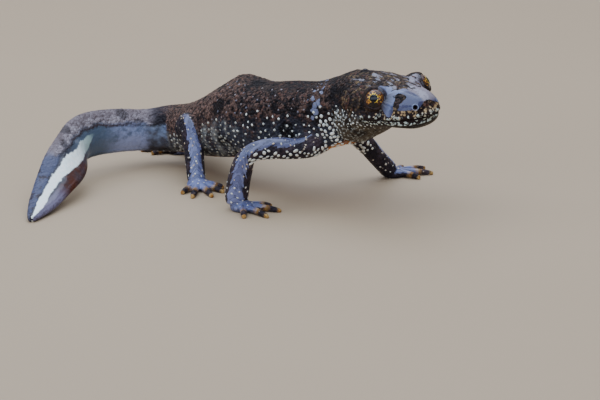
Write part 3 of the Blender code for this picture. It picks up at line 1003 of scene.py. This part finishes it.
    # The tail: a grey warty back, slate sides, a white band down its far half, a rusty lower edge.
    ragged = (mottle - 0.5) * 0.5 + (speck - 0.5) * 0.15
    torn = height + ragged
    lay(tail, (0.030, 0.026, 0.034))
    grey = mix((red * 0.4 + (mottle - 0.5) * 2.2).ease(-0.2, 0.6), (0.17, 0.135, 0.138),
               (0.40, 0.352, 0.375))
    grey = mix(speck.ease(0.50, 0.34) * 0.4, grey, (0.070, 0.050, 0.052))
    grey = mix(height.ease(0.62, 0.95) * 0.6, grey, (0.155, 0.118, 0.118))
    lay(tail * torn.ease(0.35, 0.55) * (length + ragged * 5.0).ease(64.0, 68.0) * 0.9, grey)
    lay(blotch * tail * 0.6, black)
    # Painted reflection: a bluish sheen low on the tail's root.
    root = ((length + ragged * 2.0).ease(60.5, 62.0) * length.ease(68.5, 66.5)
            * torn.ease(0.42, 0.25) * height.ease(-0.75, -0.4))
    lay(root * (veil * 0.6 + 0.15), (0.200, 0.250, 0.360))
    slate = mix(mottle.ease(0.36, 0.56), (0.12, 0.145, 0.21), (0.30, 0.33, 0.50))
    slate = mix(length.ease(71.0, 77.0), slate, (0.085, 0.115, 0.160))
    slate = mix(torn.bell(0.38, 0.10) * length.ease(68.0, 74.0) * 0.8, slate, (0.075, 0.040, 0.035))
    lay(tail * (height + ragged * 1.6).ease(0.62, 0.22) * length.ease(92.0, 84.0)
        * (length + ragged * 5.0).ease(66.0, 68.5), slate)
    rust = mix(mottle.ease(0.4, 0.6), (0.085, 0.022, 0.010), (0.060, 0.034, 0.036))
    rust = mix(length.ease(97.0, 101.0) * 0.9, rust, (0.17, 0.15, 0.22))
    lay(torn.ease(-0.30, -0.46) * tail * length.ease(82.0, 88.0) * 0.9, rust)
    far_slate = torn.ease(0.22, 0.38) * tail * length.ease(90.5, 93.0)
    lay(far_slate * 0.9, mix(patch.ease(0.40, 0.46), (0.035, 0.030, 0.042), (0.075, 0.085, 0.145)))
    top = length.ease(84.0, 101.0) * 0.20 + 0.06 + length.ease(104.0, 108.0) * -0.25
    low = length.ease(78.0, 82.0) * -0.47 + length.ease(90.0, 98.0) * 0.22 + length.ease(
        100.0, 106.0) * -0.2
    edge = height + ragged * 1.0
    band = ((edge - top).ease(0.05, -0.03) * (edge - low).ease(-0.03, 0.05)
            * abs(side).ease(0.2, 0.4))
    white = mix((red + mottle - 0.5).ease(0.2, 0.7), (0.88, 0.97, 0.91), settings.band_colour)
    white = mix(length.ease(90.0, 80.0), white, (0.42, 0.56, 0.52))
    lay(band * (length + ragged * 8.0).ease(77.5, 81.0) * tail, white)

    # Legs are dark, with a painted blue reflection along the band where they are wet, small cream
    # dots and orange toe tips.
    lay(limb, mix(patch.ease(0.42, 0.62), (0.021, 0.017, 0.022), (0.054, 0.037, 0.043)))
    fray = (patch - 0.5) * 1.2 + (speck - 0.5) * 0.5
    skewed = (limb_step * 3.2 + limb_film * 1.4, limb_film * 0.9, height * 0.5)
    creases = paint.noise(paint.node("ShaderNodeCombineXYZ", inputs=skewed), 0.55, 4.0, 0.62)
    swell = creases.ease(0.38, 0.62)
    arm_reflection_blue = mix(swell, (0.040, 0.046, 0.100), (0.115, 0.122, 0.215))
    hand_reflection_blue = mix(swell, (0.120, 0.138, 0.280), (0.215, 0.240, 0.430))
    leg_reflection_blue = mix(limb_step.ease(2.7, 3.6), arm_reflection_blue, hand_reflection_blue)
    # Painted shade: dark lines in the creases across the painted reflection.
    leg_reflection_blue = mix(creases.bell(0.47, 0.022) * limb * 0.75, leg_reflection_blue, (0.022, 0.018, 0.028))
    wet_leg_sheen = (limb_film + fray * 0.8 + (creases - 0.5) * 1.7).ease(-0.02, 0.08)
    lay(wet_leg_sheen * 0.85, leg_reflection_blue)
    drops = cells(shifted(place, 0.5, 0.45), 1.1)
    wet_body_sheen = (body_film * 1.2 - drops * 1.3 + 0.24 + fray * 0.4).ease(0.0, 0.10)
    # Painted reflection: bluish patches where water lies on the shoulder, nape and rump.
    lay(wet_body_sheen * 0.8, mix(mottle.ease(0.35, 0.65), (0.105, 0.118, 0.200), (0.170, 0.185, 0.290)))
    leg_dots = cells(frayed, 0.9).ease(0.22, 0.14) * paint.noise(place, 2.0).ease(0.46, 0.54)
    lay(limb * leg_dots * 0.8, (0.50, 0.40, 0.30))
    toe_place = toe + (speck - 0.5) * 0.25
    rings = (toe_place.bell(0.30, 0.12) * 0.7).over(toe_place.ease(0.60, 0.72))
    lay(rings * limb * 0.85, mix(speck.ease(0.4, 0.6), (0.40, 0.17, 0.030), (0.55, 0.34, 0.11)))

    # The wet snout, and broken streaks of water over the crown; the sky's reflection in the water
    # is painted on them, blue and mauve.
    drawn = paint.vectors("MULTIPLY", head_vector, (0.35, 1.0, 1.0))
    streaks = paint.noise(drawn, 0.42, 4.0, 0.6)
    crown = (head_z.ease(-0.2, 0.6) * head_x.ease(-8.5, -6.5)
             * (abs(head_y) * -1.0 + 4.2).ease(0.0, 0.8)
             * (1 - head_x.ease(2.4, 3.0) * abs(head_y).ease(1.8, 2.3)))
    crown_wet_sheen = crown * (streaks + head_x.ease(-1.0, 3.0) * 0.09).ease(0.54, 0.60)
    # Painted reflection: mauve streaks of water on the crown.
    lay(crown_wet_sheen * 0.8, (0.145, 0.130, 0.155))
    gaps = (streaks + head_x.ease(1.0, 5.0) * 0.16).ease(0.45, 0.50)
    mauve_reflection = (head_y + (patch - 0.5) * 1.2).ease(-0.9, -0.3) * head_z.ease(-0.6, 0.0)
    wet_head_sheen = (snout_film + fray * 0.7).ease(-0.04, 0.06) * (gaps * mauve_reflection + 1 - mauve_reflection)
    # Painted reflection: blue on the side of the snout, mauve over its top and left side.
    snout_reflection_blue = mix(head_x.ease(3.8, 3.0), (0.046, 0.052, 0.112), (0.148, 0.175, 0.295))
    lay(wet_head_sheen * 0.9, mix(mauve_reflection, snout_reflection_blue, (0.232, 0.200, 0.230)))
    # The lids' rims: their own dark, with painted shade where they meet the eyeballs.
    lay(lid * 0.9, mix(speck.ease(0.4, 0.6), (0.012, 0.007, 0.007), (0.030, 0.016, 0.013)))
    x, y, z = NOSTRIL
    left, right = (paint.vectors("DISTANCE", head_vector, (x, way * y, z), output="Value")
                   for way in (1, -1))
    nostril = left.ease(0.44, 0.36).over(right.ease(0.44, 0.36))
    # Painted highlight: a pale blue ring on each nostril's rim.
    lay(left.bell(0.52, 0.08).over(right.bell(0.52, 0.08)) * 0.6, (0.34, 0.40, 0.56))
    # Painted shade: the nostrils' pits nearly black.
    lay(nostril, (0.010, 0.002, 0.001))

    # Water fills the skin's grain and shines.
    film = (wet_head_sheen * 0.42).over(crown_wet_sheen * 0.45).over(wet_leg_sheen * 0.42).over(wet_body_sheen * 0.5)
    film = film.over(lid * 0.06) * (1 - nostril)
    tail_film = tail * abs(side).ease(0.4, 0.7) * torn.ease(0.45, 0.2) * 0.4
    film = film.over(tail_film).over(far_slate * 0.1)
    smoothed = (film * 2.0).ease(0.0, 0.8)
    glints = speck.ease(0.60, 0.72) * upper * 0.12
    relief = (1 - grain) * 1.1 + paint.noise(place, 0.10, 3.0, 0.6) * 0.35 + patch * 0.6
    return paint.finish(
        Roughness=0.48 + (speck - 0.5) * 0.3 - smoothed * 0.1,
        Coat_Weight=glints + film,
        Coat_Roughness=0.08,
        Coat_IOR=1.7,
        IOR=1.18,
        Normal=paint.bumpy(relief * (1 - smoothed * 0.80) + creases * wet_leg_sheen * 0.9, 0.26),
    )


def granule_finish(settings):
    """Wet white granules, duller where their own store says so, and painted lilac-blue glints where
    its paleness is below zero.
    """
    paint = Paint("newt_white_granule")
    place = paint.place()
    _, (pale, tint, _) = paint.stored("granule")
    mottle = paint.noise(place, 0.25, 3.0, 0.6)
    dull = paint.mix(mottle.ease(0.4, 0.6), (0.20, 0.19, 0.15), (0.34, 0.33, 0.26))
    bright = paint.mix(mottle.ease(0.3, 0.6), (0.62, 0.66, 0.60), settings.granule_colour)
    paint.colour = paint.mix(pale.ease(0.0, 0.9), dull, bright)
    # Painted glints: granules whose paleness is below zero are lilac blue, as light caught on wet
    # grains.
    paint.lay(pale.ease(-0.1, -0.4), (0.080, 0.076, 0.112))
    paint.lay(tint, (0.62, 0.36, 0.10))
    return paint.finish(Roughness=0.30 + mottle * 0.2, Coat_Weight=0.6, Coat_Roughness=0.08,
                        Normal=paint.bumpy(mottle, 0.03))


def eye_finish():
    """A gold iris netted with brown, a round pupil in a bright ring, all under a clear wet coat."""
    paint = Paint("newt_eye")
    _, (_, ahead, up) = paint.stored("eye_place")
    flat = paint.node("ShaderNodeCombineXYZ", inputs=(ahead, up, 0.0))
    reach = paint.vectors("LENGTH", flat, output="Value")
    away = paint.vectors("NORMALIZE", flat)
    rays = paint.node("ShaderNodeTexNoise", inputs={"Vector": away, "Scale": 2.6, "Detail": 3.0})
    net = paint.cells(paint.shifted(flat, 0.12, 0.05), 0.15)
    cloud = paint.node("ShaderNodeTexNoise", inputs={"Vector": flat, "Scale": 4.5, "Detail": 4.0})
    low = up * -1.0 + (cloud - 0.5) * 0.16
    ring = reach.bell(0.400, 0.050) * (low * 0.5 + (rays - 0.5) * 5.0).ease(0.28, 0.10)
    notch = abs(ahead).ease(0.15, 0.08) * (up * -1.0).ease(0.2, 0.3)
    pupil = (reach + (rays - 0.5) * 0.03).ease(0.375, 0.345).over(notch)
    paint.colour = paint.mix(cloud.ease(0.35, 0.65), (0.80, 0.42, 0.06), (0.48, 0.16, 0.025))
    for share, colour in (
            ((net * 1.2 + rays * 0.7).ease(0.74, 1.05), (0.045, 0.016, 0.008)),
            (reach.ease(0.66, 0.82), (0.10, 0.035, 0.012)),
            ((low - abs(ahead) * 0.75).ease(0.16, 0.26), (0.010, 0.006, 0.006)),
            ((low - 0.58).ease(0.0, 0.10), (0.016, 0.008, 0.006)),
            (ring, (0.95, 0.70, 0.05)),
            (pupil, (0.002, 0.002, 0.003)),
            (reach.ease(0.84, 0.88), (0.005, 0.004, 0.004))):
        paint.lay(share, colour)
    return paint.finish(Roughness=0.32, Metallic=(1 - pupil) * 0.35, Coat_Weight=1.0,
                        Coat_Roughness=0.03, Coat_IOR=1.36, IOR=1.2,
                        Normal=paint.bumpy(net + cloud, 0.05))


# ---------------------------------------------------------------- pieces

def colour_setting(name, description, default):
    """A setting that the panel shows as a colour."""
    return bpy.props.FloatVectorProperty(
        name=name, description=description, subtype="COLOR", default=default)


class NewtSettings(bpy.types.PropertyGroup):
    """Sizes and colours of the newt."""

    detail: bpy.props.FloatProperty(
        name="Skin detail", description="Size of the skin's remesh, in millimetres",
        default=0.14, min=0.1, max=1.0)
    most_triangles: bpy.props.IntProperty(
        name="Most triangles", description="The skin is thinned to about this many", default=190000)
    wart_height: bpy.props.FloatProperty(
        name="Wart height", description="How far the dark warts stand out, in millimetres",
        default=0.11, min=0.0, max=0.4)
    granule_tries: bpy.props.IntProperty(
        name="Granule tries", description="Places tried for white granules", default=26000)
    granule_lift: bpy.props.FloatProperty(
        name="Granule lift", description="Height of a granule over its radius", default=0.55)
    back_colour: colour_setting("Back", "Brown of the back", (0.078, 0.047, 0.034))
    dark_colour: colour_setting("Dark", "Blotches, flanks and legs", (0.007, 0.0055, 0.006))
    belly_colour: colour_setting("Belly", "Orange of the belly", (0.72, 0.20, 0.015))
    band_colour: colour_setting("Tail band", "White of the tail's band", (0.96, 0.98, 0.91))
    granule_colour: colour_setting("Granules", "White of the granules", (0.90, 0.90, 0.80))


SPREAD_SEED, GROWTH_SEED = 11, 7  # of the granules' places, and of their kinds and sizes
FLESH = [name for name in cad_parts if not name.startswith("eye_")]


def to_frame(data):
    """Takes a mesh from the newt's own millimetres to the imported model's metres."""
    data.transform(Matrix.Scale(MM, 4) @ Matrix.Translation(SHIFT))
    data.shade_smooth()


class NEWT_OT_skin(bpy.types.Operator):
    """One sculpted skin over the whole newt"""

    bl_idname = "newt.skin"
    bl_label = "Skin"

    def execute(self, context):
        settings = context.scene.newt
        made, place = newt_skin(settings)
        head = ease(-10.5, -6.5, place.head[:, 0]) * (1 - 0.7 * place.limb)
        keep = np.maximum(head, 0.25 * ease(30.0, 20.0, place.along) + 0.12 * place.limb)
        thin(made, keep, settings.most_triangles)
        to_frame(made.data)
        made.data.materials.append(skin_finish(settings))
        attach(made, "root")
        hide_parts(*FLESH)
        return {"FINISHED"}


def read_store(data, name):
    """The three numbers stored on each point."""
    flat = np.empty(len(data.vertices) * 3, np.float32)
    data.attributes[name].data.foreach_get("vector", flat)
    return flat.reshape(-1, 3).astype(float)


def spread_over(data, tries):
    """What gives the values of a mesh's points at places spread evenly over its area."""
    data.calc_loop_triangles()
    corners = np.empty(len(data.loop_triangles) * 3, int)
    data.loop_triangles.foreach_get("vertices", corners)
    corners = corners.reshape(-1, 3)
    points = points_of(data) / MM
    a, b, c = (points[corners[:, k]] for k in range(3))
    areas = np.linalg.norm(np.cross(b - a, c - a), axis=1)
    chance = np.random.default_rng(SPREAD_SEED)
    picked = corners[chance.choice(len(corners), tries, p=areas / areas.sum())]
    shares = chance.dirichlet((1, 1, 1), tries)
    return lambda values: sum(values[picked[:, k]] * shares[:, k:k + 1] for k in range(3))


class GranuleField:
    """Which granule grows at a place, and whether there is room for it."""

    SHOULDER = Granule(0.60, 0.29, 1.0, 0.0, 1.4)
    CHEEK = Granule(0.60, 0.14, 0.9, 0.1, 2.0)
    FLANK = Granule(0.90, 0.22, 0.8, 0.1, 1.2)
    RUMP = Granule(0.80, 0.25, 0.25, 0.1, 1.2)
    # Dark domes on the back, painted lilac blue as glints on wet grains.
    BACK_GLINT = Granule(1.1, 0.17, -1.0, 0.2, 1.3)
    ARM = Granule(0.62, 0.26, 1.0, 0.12, 1.9)
    LEG = Granule(1.3, 0.14, 0.6, 0.6, 1.6)
    EDGE = Granule(0.55, 0.12, 0.8, 0.75, 2.0)
    HAND = Granule(0.95, 0.15, 1.0, 0.3, 1.6)

    def __init__(self, chance):
        self.chance, self.taken = chance, {}

    def free(self, spot, spacing):
        """True where no granule is nearer than this; the place is then taken."""
        cell = tuple(int(v // 2) for v in spot)
        for step in product((-1, 0, 1), repeat=3):
            near = self.taken.get(tuple(v + way for v, way in zip(cell, step)), ())
            if any(np.linalg.norm(spot - other) < max(spacing, room) for other, room in near):
                return False
        self.taken.setdefault(cell, []).append((spot, spacing))
        return True

    def kind(self, head, body, leg, wet, out, spot):
        """The granule for a place, or None."""
        chance = self.chance
        x, _, z = head
        length, height, _ = body
        limb, toe, step = leg
        if limb > 0.5:
            if toe > 0.05 or spot[2] < 1.2:
                return None
            if step < 3.4 and wet < -0.1 and -0.95 < out[2] < 0.05 and spot[0] > SHIFT.x - 15:
                return self.ARM
            if step > 4.4:
                return self.HAND if chance.random() < 0.6 else None
            if -0.12 < wet < 0.2:
                return self.EDGE if chance.random() < 0.7 else None
            return self.LEG if chance.random() < 0.25 else None
        if limb > 0.1:
            return None
        if x > THROAT_FOLD + 0.5:
            low = -2.6 - 0.35 * max(x + 4, 0)
            if z < low + chance.uniform(-0.4, 0.6) and (z > chance.uniform(-6.0, -4.2) or x < -8.8):
                return self.CHEEK if x < -1.5 else None
            return None
        if height < -0.86:
            return None
        if length < 22.8 - 1.6 * height and z < chance.uniform(-4.4, -3.2):
            return self.SHOULDER
        if 21 < length < 40 and height < chance.uniform(-0.2, 0.45) and chance.random() < 0.6:
            return self.FLANK
        if 38 < length < 60 and height < chance.uniform(-0.2, 0.1):
            return self.RUMP
        if 22 < length < 44 and height < 0.92 and chance.random() < 0.12:
            return self.BACK_GLINT
        return None


class NEWT_OT_granules(bpy.types.Operator):
    """White granules: small domes, thick on the shoulder and cheek and in rows down the flanks"""

    bl_idname = "newt.granules"
    bl_label = "Granules"

    LOT = 1500  # domes are made in lots of about so many points, since large lots are slow

    def execute(self, context):
        settings = context.scene.newt
        skin = bpy.data.objects["newt_skin"].data
        at = spread_over(skin, settings.granule_tries)
        spots, outs = at(points_of(skin) / MM), at(normals_of(skin))
        head, body, legs, lids, films = (at(read_store(skin, name)) for name in (
            "head_place", "body_place", "limb_place", "lids", "films"))
        chance = random.Random(GROWTH_SEED)
        field = GranuleField(chance)
        whole, lot = bmesh.new(), None
        for k, spot in enumerate(spots):
            kind = field.kind(head[k], body[k], legs[k], films[k, 2], outs[k], spot)
            if kind is None or lids[k, 0] > 0.05 or not field.free(spot, kind.spacing):
                continue
            radius = kind.radius * chance.uniform(0.75, 1.2)
            out = Vector(outs[k]).normalized()
            turn = out.to_track_quat("Z", "Y").to_matrix().to_4x4()
            turn = turn @ Matrix.Rotation(chance.uniform(0, math.pi), 4, "Z")
            longer = chance.uniform(0.9, kind.longer)
            squash = Matrix.Diagonal((longer, 1, settings.granule_lift, 1))
            where = Matrix.Translation(Vector(spot) - out * radius * 0.12) @ turn @ squash
            if lot is None or len(lot.verts) > self.LOT:
                if lot is not None:
                    join(whole, lot)
                lot = bmesh.new()
                shade = lot.verts.layers.float_vector.new("granule")
            made = bmesh.ops.create_uvsphere(
                lot, u_segments=8, v_segments=5, radius=radius, matrix=where)
            value = Vector((kind.pale * chance.uniform(0.45, 1.0), kind.tint * chance.random(), 0))
            for vert in made["verts"]:
                vert[shade] = value
        join(whole, lot)
        whole.transform(Matrix.Scale(MM, 4))
        piece = add_object("newt_granules", whole)
        piece.data.shade_smooth()
        piece.data.materials.append(granule_finish(settings))
        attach(piece, "root")
        return {"FINISHED"}


class NEWT_OT_eyes(bpy.types.Operator):
    """Two eyeballs, each with its iris facing sideways and a little ahead"""

    bl_idname = "newt.eyes"
    bl_label = "Eyes"

    def execute(self, context):
        finish = eye_finish()
        for side, name in ((1, "eye_left"), (-1, "eye_right")):
            axis = eye_axis(side)
            up = (UP - axis * axis.z).normalized()
            ahead = up.cross(axis) * side
            turn = axis.to_track_quat("Z", "Y").to_matrix().to_4x4()
            mesh = bmesh.new()
            bmesh.ops.create_uvsphere(
                mesh, u_segments=64, v_segments=40, radius=EYE_RADIUS, matrix=turn)
            layer = mesh.verts.layers.float_vector.new("eye_place")
            for vert in mesh.verts:
                away = vert.co / EYE_RADIUS
                vert[layer] = Vector((away.dot(axis), away.dot(ahead), away.dot(up)))
            mesh.transform(Matrix.Translation(eye_centre(side)))
            piece = add_object("newt_" + name, mesh)
            to_frame(piece.data)
            piece.data.materials.append(finish)
            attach(piece, "root")
            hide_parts(name)
        return {"FINISHED"}


# ---------------------------------------------------------------- stage

VIEW_TARGET = (Vector((-3, 3, 0)) + SHIFT) * MM
VIEW_DISTANCE = 0.413
VIEW_RISE = math.radians(15.5)
VIEW_ROLL = math.radians(-1.8)
VIEW_LENS = 152.4
LAMP_AIM = Vector((0, 0, 0.01))
LAMPS = (
    # name, place, width, depth, watts, colour
    ("overhead_box", (-0.05, 0.05, 0.50), 0.85, 0.85, 7.2, (0.66, 0.78, 1.0)),
    ("front_box", (-0.10, -0.85, 0.46), 2.2, 0.45, 8.0, (0.62, 0.74, 1.0)),
    ("side_box", (-0.80, 0.0, 0.34), 0.7, 0.45, 1.6, (0.64, 0.76, 1.0)),
    ("rear_box", (0.05, 0.90, 0.46), 1.2, 0.4, 0.9, (1.0, 0.92, 0.98)),
)


def floor_finish():
    """A plain pale floor, very faintly uneven."""
    paint = Paint("pale_floor")
    cloud = paint.noise(paint.place(), 40.0, 3.0)
    paint.colour = paint.mix(cloud, (0.40, 0.29, 0.175), (0.43, 0.315, 0.195))
    return paint.finish(Roughness=0.6 + cloud * 0.1)


class NEWT_OT_stage(bpy.types.Operator):
    """A pale floor, a soft box overhead, a dim room and the camera"""

    bl_idname = "newt.stage"
    bl_label = "Stage"

    def execute(self, context):
        mesh = bmesh.new()
        bmesh.ops.create_grid(mesh, x_segments=8, y_segments=8, size=2.0)
        floor = add_object("stage_floor", mesh)
        floor.data.materials.append(floor_finish())

        for name, where, width, depth, watts, colour in LAMPS:
            light = bpy.data.lights.new(name, "AREA")
            light.shape = "RECTANGLE"
            light.size, light.size_y = width, depth
            light.energy, light.color = watts, colour
            lamp = bpy.data.objects.new(name, light)
            lamp.location = where
            lamp.rotation_euler = (LAMP_AIM - Vector(where)).to_track_quat("-Z", "Y").to_euler()
            context.scene.collection.objects.link(lamp)

        world = bpy.data.worlds.new("dim_room")
        world.use_nodes = True
        backdrop = world.node_tree.nodes["Background"]
        backdrop.inputs["Color"].default_value = (0.86, 0.84, 0.82, 1)
        backdrop.inputs["Strength"].default_value = 0.25
        context.scene.world = world

        camera = bpy.data.cameras.new("camera")
        camera.lens = VIEW_LENS
        camera.sensor_width = 36.0
        camera.clip_start = 0.01
        holder = bpy.data.objects.new("camera", camera)
        away = Vector((0, -math.cos(VIEW_RISE), math.sin(VIEW_RISE)))
        turn = (-away).to_track_quat("-Z", "Y").to_matrix().to_4x4()
        place = Matrix.Translation(VIEW_TARGET + away * VIEW_DISTANCE)
        holder.matrix_world = place @ turn @ Matrix.Rotation(VIEW_ROLL, 4, "Z")
        context.scene.collection.objects.link(holder)
        context.scene.camera = holder
        return {"FINISHED"}


class NEWT_PT_panel(bpy.types.Panel):
    """The newt's settings and pieces"""

    bl_idname = "NEWT_PT_panel"
    bl_label = "Great crested newt"
    bl_space_type = "VIEW_3D"
    bl_region_type = "UI"
    bl_category = "Newt"

    def draw(self, context):
        settings = context.scene.newt
        for name in NewtSettings.__annotations__:
            self.layout.prop(settings, name)
        for operator in PIECES:
            self.layout.operator(operator.bl_idname)


PIECES = (NEWT_OT_skin, NEWT_OT_granules, NEWT_OT_eyes, NEWT_OT_stage)
CLASSES = (NewtSettings, *PIECES, NEWT_PT_panel)


def register():
    for cls in CLASSES:
        bpy.utils.register_class(cls)
    bpy.types.Scene.newt = bpy.props.PointerProperty(type=NewtSettings)


def unregister():
    del bpy.types.Scene.newt
    for cls in reversed(CLASSES):
        bpy.utils.unregister_class(cls)


def main():
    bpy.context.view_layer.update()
    register()
    for operator in PIECES:
        group, name = operator.bl_idname.split(".")
        getattr(getattr(bpy.ops, group), name)()


if __name__ == "__main__":
    main()
